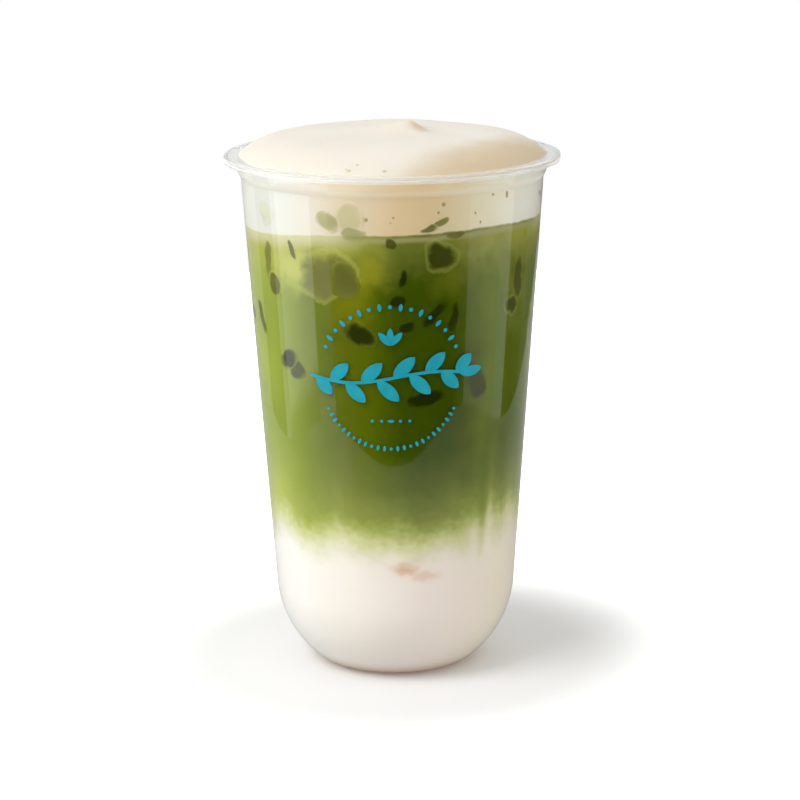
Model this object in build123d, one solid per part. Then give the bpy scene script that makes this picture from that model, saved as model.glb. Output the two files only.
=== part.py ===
from build123d import *
import os
from math import atan2, cos, exp, hypot, pi, radians, sin, sqrt, tan

# Iced matcha latte in a clear plastic cup with a rounded bottom.
#
# The cup is one thin moulded wall turned about +Z: a foot ring with a recess inside it, a toe and
# a large bottom arc, a straight wall that leans outwards, a step out to the collar, and a lip that
# turns down at its edge. Three layers fill it from wall to wall: milk, matcha and a domed cap of
# foam that rises above the rim. The layers meet in wavy surfaces, and each one ends on the cup's
# own inner skin.
#
# Millimetres, +Z up. The origin is on the axis, at the plane that the foot ring stands on.

# Cup
RIM_DIAMETER = 95.0
CUP_HEIGHT = 148.0
WALL = 0.9
WALL_LEAN = 4.0  # degrees from the vertical
FOOT_INSET = 24.8  # from the top of the leaning wall in to where the toe touches the table
FOOT_RING_WIDTH = 3.5
RECESS_DEPTH = 1.2
TOE_ARC_RADIUS = 9.0
BOTTOM_ARC_RADIUS = 31.0

# Collar and lip
COLLAR_HEIGHT = 6.2  # from the top of the leaning wall up to the rim
COLLAR_STEP = 0.8
STEP_HEIGHT = 1.6
LIP_OVERHANG = 3.9
LIP_HEIGHT = 1.8
LIP_THICKNESS = 0.9
LIP_EDGE = 1.0  # the width of the turned-down edge
LIP_ROUNDING = 0.5
MOUTH_ROUNDING = 0.8
SMALL_ROUNDING = 0.3

# Fill levels, all on the axis
MILK_LEVEL = 40.5
FOAM_DEPTH = 20.6  # from the rim down to the matcha
DOME_RISE = 6.2

# How uneven the layers are
CALM_RADIUS = 18.0  # the milk and the matcha are nearly level inside this
MILK_WAVE = 1.7
TEA_WAVE = 0.7
TEA_SLOPE_FORWARD = 0.06  # the matcha lies higher at the front
TEA_SLOPE_SIDEWAYS = 0.02
DOME_FULLNESS = 7  # a higher power makes a flatter top and a steeper edge
DOME_EDGE_DROP = 0.25  # how far the foam's edge lies below the rim
DOME_WAVE = 0.25

# The soft peak that the spoon left in the foam
PEAK_PLACE = (4.5, 4.0)
PEAK_RISE = 2.8
PEAK_LONG_SIDE = 8.0
PEAK_STEEP_SIDE = 2.6
PEAK_WIDTH = 3.4

SURFACE_POINTS = 33  # along each side of a wavy surface
SURFACE_MARGIN = 3.0  # how far it reaches past the rim
ABOVE_ALL = 20.0  # clear of the foam's highest point

RIM_RADIUS = RIM_DIAMETER / 2
COLLAR_RADIUS = RIM_RADIUS - LIP_OVERHANG
WALL_TOP_RADIUS = COLLAR_RADIUS - COLLAR_STEP
FOOT_RADIUS = WALL_TOP_RADIUS - FOOT_INSET
STEP_BOTTOM = CUP_HEIGHT - COLLAR_HEIGHT
STEP_TOP = STEP_BOTTOM + STEP_HEIGHT
LEAN = radians(WALL_LEAN)
MOUTH_RADIUS = COLLAR_RADIUS - WALL / cos(LEAN) + MOUTH_ROUNDING  # where the rim begins


def bottom_arc_centre():
    """The centre of the arc that touches the leaning wall and carries on as the toe's arc."""
    toe = (FOOT_RADIUS, TOE_ARC_RADIUS)
    along = (sin(LEAN), cos(LEAN))
    start = (
        WALL_TOP_RADIUS - BOTTOM_ARC_RADIUS * cos(LEAN),
        STEP_BOTTOM + BOTTOM_ARC_RADIUS * sin(LEAN),
    )
    gap = (start[0] - toe[0], start[1] - toe[1])
    lean_part = gap[0] * along[0] + gap[1] * along[1]
    reach = BOTTOM_ARC_RADIUS - TOE_ARC_RADIUS
    inside = lean_part**2 - hypot(*gap) ** 2 + reach**2
    run = -lean_part + sqrt(inside)
    return (start[0] + run * along[0], start[1] + run * along[1])


def arc_point(centre, radius, angle):
    return (centre[0] + radius * cos(angle), centre[1] + radius * sin(angle))


def arc(centre, radius, start, end):
    """An arc in the profile plane, from one angle to another."""
    points = [arc_point(centre, radius, a) for a in (start, (start + end) / 2, end)]
    return ThreePointArc(*points)


def skin(inset):
    """The edges of the cup's skin from the axis up to the collar, and its point on the collar.

    An inset of 0 gives the outer skin and one wall gives the inner skin.
    """
    recess_edge = FOOT_RADIUS - FOOT_RING_WIDTH + inset * tan(pi / 8)
    toe = (FOOT_RADIUS, TOE_ARC_RADIUS)
    big = bottom_arc_centre()
    joint = atan2(toe[1] - big[1], toe[0] - big[0])
    base = Polyline(
        (0, RECESS_DEPTH + inset),
        (recess_edge - RECESS_DEPTH, RECESS_DEPTH + inset),
        (recess_edge, inset),
        (FOOT_RADIUS, inset),
    )
    toe_arc = arc(toe, TOE_ARC_RADIUS - inset, -pi / 2, joint)
    bottom_arc = arc(big, BOTTOM_ARC_RADIUS - inset, joint, -LEAN)
    wall_radius = WALL_TOP_RADIUS - inset / cos(LEAN)
    on_collar = (wall_radius + COLLAR_STEP, STEP_TOP)
    wall = Polyline(bottom_arc @ 1, (wall_radius, STEP_BOTTOM), on_collar)
    return [*base.edges(), *toe_arc.edges(), *bottom_arc.edges(), *wall.edges()], on_collar


def turned(edges):
    """The solid that a closed profile makes about the axis."""
    profile = make_face([Plane.XZ * edge for edge in edges])
    return revolve(profile, Axis.Z)


def make_cup():
    outer, outer_collar = skin(0)
    inner, inner_collar = skin(WALL)
    skirt_inside = RIM_RADIUS - LIP_EDGE
    small = min(SMALL_ROUNDING, (LIP_HEIGHT - LIP_THICKNESS) / 3, LIP_EDGE / 3)
    flange_underside = CUP_HEIGHT - LIP_THICKNESS
    skirt_bottom = CUP_HEIGHT - LIP_HEIGHT
    lip = FilletPolyline(
        outer_collar,
        (COLLAR_RADIUS, flange_underside),
        (skirt_inside, flange_underside),
        (skirt_inside, skirt_bottom),
        (RIM_RADIUS, skirt_bottom),
        (RIM_RADIUS, CUP_HEIGHT),
        (inner_collar[0], CUP_HEIGHT),
        inner_collar,
        radius=[small, small, small, small, LIP_ROUNDING, MOUTH_ROUNDING],
    )
    hub = Line((0, RECESS_DEPTH), (0, RECESS_DEPTH + WALL))
    return turned([*outer, *lip.edges(), *inner, hub])


def make_cavity():
    """The space inside the cup, with a column above the mouth for the foam to rise in."""
    inner, inner_collar = skin(WALL)
    mouth = (inner_collar[0], CUP_HEIGHT - MOUTH_ROUNDING)
    mouth_arc = arc(
        (mouth[0] + MOUTH_ROUNDING, mouth[1]), MOUTH_ROUNDING, pi, pi / 2
    )
    top = CUP_HEIGHT + ABOVE_ALL
    closing = Polyline(
        (MOUTH_RADIUS, CUP_HEIGHT), (MOUTH_RADIUS, top), (0, top), (0, RECESS_DEPTH + WALL)
    )
    collar = Line(inner_collar, mouth)
    return turned([*inner, collar, mouth_arc, *closing.edges()])


def milk_level(x, y):
    """The milk's cloudy top: uneven fingers round a flat middle."""
    turn = atan2(y, x)
    edge = min(1.0, hypot(x, y) / CALM_RADIUS)
    fingers = sin(9 * turn) - sin(3 * turn)
    return MILK_LEVEL + MILK_WAVE * edge**2 * fingers


def tea_level(x, y):
    """Where the foam floats on the matcha."""
    turn = atan2(y, x)
    edge = min(1.0, hypot(x, y) / CALM_RADIUS)
    ripples = sin(2 * turn + 2.4) + 0.5 * sin(5 * turn)
    tilt = TEA_SLOPE_SIDEWAYS * x - TEA_SLOPE_FORWARD * y
    return CUP_HEIGHT - FOAM_DEPTH + tilt + TEA_WAVE * edge**2 * ripples


def peak(x, y):
    """A soft peak with a long flank on its left and a steep one on its right."""
    across, along = x - PEAK_PLACE[0], y - PEAK_PLACE[1]
    flank = PEAK_LONG_SIDE if across < 0 else PEAK_STEEP_SIDE
    slope = sqrt((across / flank) ** 2 + 0.05)
    width = PEAK_WIDTH * (1 + 0.5 * slope)
    return PEAK_RISE * exp(-slope - (along / width) ** 2 / 2)


def foam_level(x, y):
    """The foam's dome, which runs down to the mouth of the cup all round."""
    rise = DOME_RISE + DOME_EDGE_DROP
    share = hypot(x, y) / MOUTH_RADIUS
    if share <= 1:
        dome = rise * (1 - share**DOME_FULLNESS)
    else:
        dome = -rise * DOME_FULLNESS * (share - 1)
    calm = max(0.0, 1 - share**2)
    waves = DOME_WAVE * calm * (sin(0.17 * x + 0.8) + sin(0.21 * y - 0.05 * x))
    return CUP_HEIGHT - DOME_EDGE_DROP + dome + waves + peak(x, y)


def below(level):
    """Everything under a wavy surface, down to below the table."""
    half = RIM_RADIUS + SURFACE_MARGIN
    steps = [half * (2 * i / (SURFACE_POINTS - 1) - 1) for i in range(SURFACE_POINTS)]
    surface = Face.make_surface_from_array_of_points(
        [[(x, y, level(x, y)) for y in steps] for x in steps], tol=0.02, min_deg=3
    )
    return extrude(surface, amount=CUP_HEIGHT + 2 * ABOVE_ALL, dir=(0, 0, -1))


def main():
    cavity = make_cavity()
    under_milk, under_tea, under_foam = below(milk_level), below(tea_level), below(foam_level)
    parts = {
        "cup": make_cup(),
        "milk": cavity & under_milk,
        "matcha": (cavity & under_tea) - under_milk,
        "foam": (cavity & under_foam) - under_tea,
    }
    os.makedirs("parts", exist_ok=True)
    for name, shape in parts.items():
        shape.label = name
        export_step(shape, f"parts/{name}.step")
        print(name, "volume", round(shape.volume / 1000, 2), "ml", shape.bounding_box())


main()
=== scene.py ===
import bpy
import random
from bisect import bisect_left
from math import atan2, cos, exp, hypot, pi, radians, sin, sqrt, tan
from mathutils import Matrix, Vector


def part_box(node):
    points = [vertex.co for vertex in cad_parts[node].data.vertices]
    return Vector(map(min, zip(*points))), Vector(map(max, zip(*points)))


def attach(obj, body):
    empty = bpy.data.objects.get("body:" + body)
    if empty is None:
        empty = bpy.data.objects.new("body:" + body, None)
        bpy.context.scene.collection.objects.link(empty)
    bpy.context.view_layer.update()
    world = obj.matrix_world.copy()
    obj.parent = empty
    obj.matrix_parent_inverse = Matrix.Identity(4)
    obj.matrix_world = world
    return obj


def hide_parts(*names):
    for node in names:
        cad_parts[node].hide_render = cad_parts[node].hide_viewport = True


# Iced matcha latte in a clear round-bottomed cup: the looks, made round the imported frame.
# Shapes are worked out in millimetres and become metres when a mesh is made.

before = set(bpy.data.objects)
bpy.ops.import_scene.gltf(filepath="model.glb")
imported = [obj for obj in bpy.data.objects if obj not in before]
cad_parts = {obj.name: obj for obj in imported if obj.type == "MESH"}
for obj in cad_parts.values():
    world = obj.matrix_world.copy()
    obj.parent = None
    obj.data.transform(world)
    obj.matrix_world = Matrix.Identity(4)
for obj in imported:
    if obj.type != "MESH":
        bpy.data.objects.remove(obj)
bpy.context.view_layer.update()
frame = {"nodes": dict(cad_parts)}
print("frame loaded:", ", ".join(frame["nodes"]))

mm = 0.001
cupLow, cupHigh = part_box("cup")
rim = (cupHigh[0] - cupLow[0]) / 2 / mm
top = cupHigh[2] / mm
sides = 256  # round every turned piece

cup = {
    "wall": 0.9,
    "lean": radians(4.0),
    "collarHeight": 6.2,
    "collarStep": 0.8,
    "stepHeight": 1.6,
    "lipOverhang": 3.9,
    "lipHeight": 1.8,
    "lipThickness": 0.9,
    "lipEdge": 1.0,
    "lipRounding": 0.3,
    "rimRounding": 0.5,
    "mouthRounding": 0.8,
    "footInset": 24.8,
    "footRing": 3.5,
    "recess": 1.2,
    "toeArc": 9.0,
    "toeSteps": 8,
    "bottomArc": 31.0,
    "bottomSteps": 24,
    "tint": (0.965, 0.972, 0.968, 1),
    "refraction": 1.49,
    "lipHaze": 0.14,
    "lipClearness": 0.8,  # the thick lip scatters a little
}
collar = rim - cup["lipOverhang"]
wallTop = collar - cup["collarStep"]
stepLow = top - cup["collarHeight"]
mouth = collar - cup["wall"] + cup["mouthRounding"]


def arcPoints(centre, radius, start, end, count):
    turns = [start + (end - start) * i / count for i in range(count + 1)]
    return [(centre[0] + radius * cos(a), centre[1] + radius * sin(a)) for a in turns]


def alongWall(start, end, spacing=2.5):
    # rings close together, with one more beside each end, so that the straight wall shades straight
    length = hypot(end[0] - start[0], end[1] - start[1])
    count = round(length / spacing)
    beside = 0.15 / length
    shares = [beside] + [i / count for i in range(1, count)] + [1 - beside, 1]
    return [(start[0] + (end[0] - start[0]) * s, start[1] + (end[1] - start[1]) * s) for s in shares]


def skin(inset):
    # the cup's side from the middle of its foot up to the collar, at a depth into the wall
    lean = cup["lean"]
    big = cup["bottomArc"]
    small = cup["toeArc"]
    foot = (wallTop - cup["footInset"], small)
    start = (wallTop - big * cos(lean) - foot[0], stepLow + big * sin(lean) - foot[1])
    along = start[0] * sin(lean) + start[1] * cos(lean)
    run = -along + sqrt(along**2 - start[0] ** 2 - start[1] ** 2 + (big - small) ** 2)
    centre = (foot[0] + start[0] + run * sin(lean), foot[1] + start[1] + run * cos(lean))
    joint = atan2(foot[1] - centre[1], foot[0] - centre[0])
    edge = foot[0] - cup["footRing"] + inset * tan(pi / 8)
    flat = cup["recess"] + inset
    points = [(0, flat), (edge - cup["recess"], flat), (edge, inset)]
    points += arcPoints(foot, small - inset, -pi / 2, joint, cup["toeSteps"])
    points += arcPoints(centre, big - inset, joint, -lean, cup["bottomSteps"])[1:]
    bend = (wallTop - inset / cos(lean), stepLow)
    points += alongWall(points[-1], bend)
    points += alongWall(bend, (bend[0] + cup["collarStep"], stepLow + cup["stepHeight"]), 1.0)
    return points


def radiusAt(points, height):
    # how wide a rising line of points is at a height
    heights = [p[1] for p in points]
    i = min(max(bisect_left(heights, height), 1), len(points) - 1)
    (r0, z0), (r1, z1) = points[i - 1], points[i]
    return r0 + (r1 - r0) * (height - z0) / (z1 - z0)


def rounded(points, radii, steps=6):
    # a run of straight lines with its inner corners turned into arcs
    line = [points[0]]
    for i, radius in enumerate(radii, start=1):
        here = Vector(points[i])
        back = (Vector(points[i - 1]) - here).normalized()
        on = (Vector(points[i + 1]) - here).normalized()
        half = back.angle(on) / 2
        reach = radius / tan(half)
        middle = here + (back + on).normalized() * (radius / sin(half))
        a = here + back * reach - middle
        b = here + on * reach - middle
        for t in range(steps + 1):
            line.append(tuple(middle + a.slerp(b, t / steps).normalized() * radius))
    return line + [points[-1]]


def placed(name, data):
    made = bpy.data.objects.new(name, data)
    bpy.context.scene.collection.objects.link(made)
    return made


def makeMesh(name, points, faces, smoothUnder=35):
    mesh = bpy.data.meshes.new(name)
    mesh.from_pydata([tuple(c * mm for c in p) for p in points], [], faces)
    mesh.validate()
    mesh.shade_smooth()
    mesh.set_sharp_from_angle(angle=radians(smoothUnder))
    return placed(name, mesh)


def ringFaces(rows):
    # quads between rings of points that follow each other
    faces = []
    for row in range(rows - 1):
        a = row * sides
        b = a + sides
        for i in range(sides):
            j = (i + 1) % sides
            faces.append((a + i, a + j, b + j, b + i))
    return faces


def turnedPiece(name, profile):
    # a profile that starts and ends on the axis, turned about it
    turns = [2 * pi * i / sides for i in range(sides)]
    points = [(r * cos(a), r * sin(a), z) for r, z in profile[1:-1] for a in turns]
    faces = ringFaces(len(profile) - 2)
    first = len(points)
    last = first + 1
    end = first - sides
    points += [(0, 0, profile[0][1]), (0, 0, profile[-1][1])]
    for i in range(sides):
        j = (i + 1) % sides
        faces += [(first, j, i), (last, end + i, end + j)]
    return makeMesh(name, points, faces)


drink = {
    "intoWall": 0.15,  # every layer reaches this far into the cup's wall
    "milkLevel": 40.5,
    "milkWave": 1.7,
    "calmRadius": 18.0,
    "teaLevel": top - 20.6,
    "teaWave": 0.7,
    "slopeForward": 0.06,
    "slopeSideways": 0.02,
    "evenRowsTo": 0.2,  # share of the step's height down to which the milk's side has even rows
    "ringSpread": 0.8,  # under 1, so that the rings on a layer's surface crowd towards the wall
}
fillSkin = skin(cup["wall"] - drink["intoWall"])
wallSlope = tan(cup["lean"])
outerBase = wallTop - stepLow * wallSlope  # the straight wall's radius, carried down to the table
innerBase = outerBase - cup["wall"] / cos(cup["lean"])


def milkLevel(x, y):
    turn = atan2(y, x)
    edge = min(1, hypot(x, y) / drink["calmRadius"]) ** 2
    return drink["milkLevel"] + drink["milkWave"] * edge * (sin(9 * turn) - sin(3 * turn))


def teaLevel(x, y):
    turn = atan2(y, x)
    edge = min(1, hypot(x, y) / drink["calmRadius"]) ** 2
    ripples = sin(2 * turn + 2.4) + 0.5 * sin(5 * turn)
    tilt = drink["slopeSideways"] * x - drink["slopeForward"] * y
    return drink["teaLevel"] + tilt + drink["teaWave"] * edge * ripples


foamCap = {
    "rise": 5.75,
    "fullness": 7,
    "edgeDrop": 0.25,
    "wave": 0.25,
    "peakPlace": (5.2, 2.4),
    "peakRise": 5.1,
    "longSide": 10.0,
    "steepSide": 3.4,
    "peakWidth": 3.9,
    "peakBend": 0.02,
    "peakBluntness": 0.12,
    "dip": 1.0,
    "dipWidth": 13.0,
}


def softPeak(x, y):
    # the trace of the spoon: a long flank on the left and a steep one on the right
    px, py = foamCap["peakPlace"]
    across = x - px
    along = y - py + foamCap["peakBend"] * across**2
    flank = foamCap["longSide"] if across < 0 else foamCap["steepSide"]
    slope = sqrt((across / flank) ** 2 + foamCap["peakBluntness"])
    spread = foamCap["peakWidth"] * (1 + 0.5 * slope)
    dip = foamCap["dip"] * exp(-((hypot(across, along) / foamCap["dipWidth"]) ** 2))
    return foamCap["peakRise"] * exp(-slope - (along / spread) ** 2 / 2) - dip


def foamLevel(x, y):
    share = min(1, hypot(x, y) / mouth)
    dome = (foamCap["rise"] + foamCap["edgeDrop"]) * (1 - share ** foamCap["fullness"])
    calm = max(0, 1 - share**2)
    waves = foamCap["wave"] * calm * (sin(0.17 * x + 0.8) + sin(0.21 * y - 0.05 * x))
    return top - foamCap["edgeDrop"] + dome + waves + softPeak(x, y)


def wallRadius(height):
    # the drink's own radius, which follows the inner skin up to the rounded mouth
    if height <= stepLow + cup["stepHeight"]:
        return radiusAt(fillSkin, height)
    straight = fillSkin[-1][0]
    rounding = cup["mouthRounding"]
    up = min(height - (top - rounding), rounding)
    if up <= 0:
        return straight
    return straight + rounding - sqrt(rounding**2 - up**2)


def meetingPoint(level, turn):
    # where a layer's surface reaches the wall in one direction
    radius = wallRadius(level(0, 0))
    for _ in range(12):
        height = level(radius * cos(turn), radius * sin(turn))
        radius = 0.5 * (radius + wallRadius(height))
    return radius, level(radius * cos(turn), radius * sin(turn))


def layerPiece(name, above, below, discRings, sideRows):
    # a layer of the drink: its top, its side down the wall, and its underside or the cup's foot
    lines = []  # for each direction, the points from the middle of the top to the middle below
    for i in range(sides):
        turn = 2 * pi * i / sides
        c = cos(turn)
        s = sin(turn)
        edgeRadius, edgeHeight = meetingPoint(above, turn)
        lowHeight = stepLow * drink["evenRowsTo"]
        if below:
            lowRadius, lowHeight = meetingPoint(below, turn)
        line = []
        for k in range(1, discRings + 1):
            r = edgeRadius * (k / discRings) ** drink["ringSpread"]
            line.append((r * c, r * s, above(r * c, r * s)))
        for k in range(1, sideRows):
            z = edgeHeight + (lowHeight - edgeHeight) * k / sideRows
            r = wallRadius(z)
            line.append((r * c, r * s, z))
        if below:
            for k in range(discRings, 0, -2):
                r = lowRadius * (k / discRings) ** drink["ringSpread"]
                line.append((r * c, r * s, below(r * c, r * s)))
        else:
            bottom = [p for p in fillSkin if p[1] < lowHeight and p[0] > 0]
            line += [(r * c, r * s, z) for r, z in [(wallRadius(lowHeight), lowHeight)] + bottom[::-1]]
        lines.append(line)
    rows = len(lines[0])
    points = [lines[i][row] for row in range(rows) for i in range(sides)]
    faces = [tuple(reversed(face)) for face in ringFaces(rows)]
    crown = len(points)
    base = crown + 1
    end = crown - sides
    points += [(0, 0, above(0, 0)), (0, 0, below(0, 0) if below else fillSkin[0][1])]
    for i in range(sides):
        j = (i + 1) % sides
        faces += [(crown, i, j), (base, end + j, end + i)]
    return makeMesh(name, points, faces, 60)


stains = {
    "foamLift": 1.9,  # tea soaks this far up into the foam's lower edge
    "foamSwing": 0.5,
    "foamWaves": 4,
    "foamTurn": 9,
    # fingers of milk up into the tea, and of tea down: degrees from the front, rise, half width
    "fingers": [
        (-50, -2.5, 14.0),
        (-16, -1.4, 7.0),
        (0, 1.5, 7.0),
        (17, -2.0, 8.0),
        (39.0, 2.0, 2.4),
        (43.5, -1.5, 2.2),
        (47.5, 4.0, 2.6),
        (57, -2.5, 5.0),
    ],
}


def noteLevels(piece):
    # for the materials: how far each point is under the foam and over the milk, in millimetres
    mesh = piece.data
    under = mesh.attributes.new("underFoam", "FLOAT", "POINT")
    over = mesh.attributes.new("overMilk", "FLOAT", "POINT")
    for i, vertex in enumerate(mesh.vertices):
        x, y, z = vertex.co / mm
        degrees = atan2(x, -y) * 180 / pi
        wave = cos(radians(stains["foamWaves"] * (degrees + stains["foamTurn"])))
        lift = stains["foamLift"] + stains["foamSwing"] * wave
        under.data[i].value = teaLevel(x, y) + lift - z
        over.data[i].value = z - milkLevel(x, y)
        for place, rise, wide in stains["fingers"]:
            over.data[i].value -= rise * exp(-(((degrees - place) / wide) ** 2))


def finished(piece, node):
    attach(piece, "root")
    if node:
        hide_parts(node)
    return piece


def feed(tree, socket, value):
    if isinstance(value, bpy.types.NodeSocket):
        tree.links.new(value, socket)
    else:
        socket.default_value = value


def addNode(tree, kind, inputs=None, **settings):
    made = tree.nodes.new(kind)
    for key, value in settings.items():
        setattr(made, key, value)
    for key, value in (inputs or {}).items():
        feed(tree, made.inputs[key], value)
    return made


def calc(tree, operation, *values):
    return addNode(tree, "ShaderNodeMath", dict(enumerate(values)), operation=operation).outputs[0]


def move(tree, operation, *values):
    return addNode(tree, "ShaderNodeVectorMath", dict(enumerate(values)), operation=operation).outputs[0]


def scaled(tree, value, factor):
    return addNode(tree, "ShaderNodeVectorMath", {0: value, "Scale": factor}, operation="SCALE").outputs[0]


def lengthOf(tree, value):
    return addNode(tree, "ShaderNodeVectorMath", {0: value}, operation="LENGTH").outputs["Value"]


def axesOf(tree, place):
    return addNode(tree, "ShaderNodeSeparateXYZ", {0: place}).outputs


def joined(tree, x, y, z):
    return addNode(tree, "ShaderNodeCombineXYZ", {0: x, 1: y, 2: z}).outputs[0]


def fade(tree, value, low, high):
    # 0 at low and 1 at high, with soft ends
    inputs = {"Value": value, "From Min": low, "From Max": high}
    return addNode(tree, "ShaderNodeMapRange", inputs, interpolation_type="SMOOTHSTEP").outputs[0]


def bump(tree, value, middle, width):
    # 1 at the middle and 0 beyond the width on either side
    away = calc(tree, "ABSOLUTE", calc(tree, "SUBTRACT", value, middle))
    return fade(tree, away, width, 0.0)


def blend(tree, factor, first, second, kind="MIX"):
    inputs = {0: factor, 6: first, 7: second}
    return addNode(tree, "ShaderNodeMix", inputs, data_type="RGBA", blend_type=kind).outputs[2]


def tinted(tree, base, mask, strength, colour):
    # a colour laid over another where the mask says, and never at more than its strength
    return blend(tree, calc(tree, "MULTIPLY", mask, strength), base, colour)


def cloud(tree, place, scale, detail=2.0, stretch=None):
    # soft noise, finer with a larger scale
    if stretch:
        place = addNode(tree, "ShaderNodeMapping", {"Vector": place, "Scale": stretch}).outputs[0]
    inputs = {"Vector": place, "Scale": scale, "Detail": detail}
    return addNode(tree, "ShaderNodeTexNoise", inputs).outputs[0]


def greys(stops):
    return [(place, (value, value, value)) for place, value in stops]


def ramp(tree, factor, stops):
    made = addNode(tree, "ShaderNodeValToRGB", {"Fac": factor})
    band = made.color_ramp
    band.interpolation = "LINEAR"
    for place, _ in stops[1:-1]:
        band.elements.new(place)
    band.elements[0].position = stops[0][0]
    band.elements[-1].position = stops[-1][0]
    for element, (_, colour) in zip(band.elements, stops):
        element.color = (*colour, 1)
    return made.outputs[0]


def roundRamp(tree, share, stops):
    # colours by direction, in degrees from the front and to the right, joined up at the back
    placed = [((degrees + 180) / 360, colour) for degrees, colour in stops]
    return ramp(tree, share, [(0.0, stops[-1][1])] + placed)


def newMaterial(name):
    material = bpy.data.materials.new(name)
    material.use_nodes = True
    material.node_tree.nodes.clear()
    return material, material.node_tree


def ends(tree, shader, kind="Material"):
    addNode(tree, "ShaderNodeOutput" + kind, {"Surface": shader.outputs[0]})


def newGroup(name, kind, inputs, outputs):
    group = bpy.data.node_groups.new(name, kind)
    for label, (socket, value) in inputs.items():
        made = group.interface.new_socket(label, in_out="INPUT", socket_type="NodeSocket" + socket)
        if value is not None:
            made.default_value = value
    for label, socket in outputs.items():
        group.interface.new_socket(label, in_out="OUTPUT", socket_type="NodeSocket" + socket)
    return group, group.nodes.new("NodeGroupInput").outputs, group.nodes.new("NodeGroupOutput").inputs


def paint(piece, material):
    piece.data.materials.clear()
    piece.data.materials.append(material)


def makeCup():
    outer = skin(0)
    inner = skin(cup["wall"])
    skirt = rim - cup["lipEdge"]
    under = top - cup["lipThickness"]
    low = top - cup["lipHeight"]
    corners = [
        outer[-1],
        (collar, under),
        (skirt, under),
        (skirt, low),
        (rim, low),
        (rim, top),
        (inner[-1][0], top),
        inner[-1],
    ]
    lip = rounded(corners, [cup["lipRounding"]] * 4 + [cup["rimRounding"], cup["mouthRounding"]])
    profile = outer[:-1] + lip + inner[:-1][::-1]
    return finished(turnedPiece("clearCup", profile), "cup")


cupPiece = makeCup()


def makeGrain():
    # fine streaks and haze that moulded plastic and colour layers both carry
    inputs = {"Place": ("Vector", None), "Scale": ("Float", 1.0), "Stretch": ("Float", 1.0)}
    outputs = {"Mask": "Float", "Height": "Float"}
    tree, given, taken = newGroup("fineGrain", "ShaderNodeTree", inputs, outputs)
    place = move(tree, "MULTIPLY", given["Place"], joined(tree, 1.0, 1.0, given["Stretch"]))
    haze = cloud(tree, place, calc(tree, "MULTIPLY", given["Scale"], 0.21))
    feed(tree, taken["Mask"], fade(tree, haze, 0.3, 0.7))
    feed(tree, taken["Height"], cloud(tree, place, given["Scale"], 4.0))
    return tree


grainGroup = makeGrain()


def placeIn(tree):
    return addNode(tree, "ShaderNodeTexCoord").outputs["Object"]


def grain(tree, place, scale, stretch=1.0):
    inputs = {"Place": place, "Scale": scale, "Stretch": stretch}
    made = tree.nodes.new("ShaderNodeGroup")
    made.node_tree = grainGroup
    for label, value in inputs.items():
        feed(tree, made.inputs[label], value)
    return made.outputs


def raised(tree, strength, distance, height):
    inputs = {"Strength": strength, "Distance": distance, "Height": height}
    return addNode(tree, "ShaderNodeBump", inputs).outputs[0]


def clearPlastic(name, clearness, haze):
    material, tree = newMaterial(name)
    flow = grain(tree, placeIn(tree), 160.0, 0.18)  # the mould's flow runs up the wall
    rough = calc(tree, "MULTIPLY_ADD", flow["Mask"], 0.02, haze)
    tint = blend(tree, flow["Mask"], cup["tint"], tuple(c * 0.99 for c in cup["tint"][:3]) + (1,))
    swell = raised(tree, 0.01, 0.0002, flow["Height"])
    inputs = {"Base Color": tint, "Roughness": rough, "IOR": cup["refraction"], "Normal": swell}
    plastic = addNode(tree, "ShaderNodeBsdfPrincipled", {**inputs, "Transmission Weight": clearness})
    clear = addNode(tree, "ShaderNodeBsdfTransparent", {"Color": (0.97, 0.97, 0.97, 1)})
    path = addNode(tree, "ShaderNodeLightPath")
    inputs = {0: path.outputs["Is Shadow Ray"], 1: plastic.outputs[0], 2: clear.outputs[0]}
    through = addNode(tree, "ShaderNodeMixShader", inputs)  # lets the lamps reach the drink
    ends(tree, through)
    return material


paint(cupPiece, clearPlastic("clearPlastic", clearness=1.0, haze=0.02))
cupPiece.data.materials.append(clearPlastic("milkyLip", cup["lipClearness"], cup["lipHaze"]))
lipLow = top - cup["lipHeight"] - 0.1  # a little under the lip's lower edge
for face in cupPiece.data.polygons:
    if face.center.z > lipLow * mm:
        face.material_index = 1
print("cup made")

milkPiece = layerPiece("milkLayer", milkLevel, None, discRings=24, sideRows=16)
finished(milkPiece, "milk")
teaPiece = layerPiece("matchaLayer", teaLevel, milkLevel, discRings=24, sideRows=90)
finished(teaPiece, "matcha")
foamPiece = layerPiece("foamCap", foamLevel, teaLevel, discRings=72, sideRows=40)
finished(foamPiece, "foam")
for piece in (milkPiece, teaPiece, foamPiece):
    noteLevels(piece)
print("milk, tea and foam made")

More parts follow.
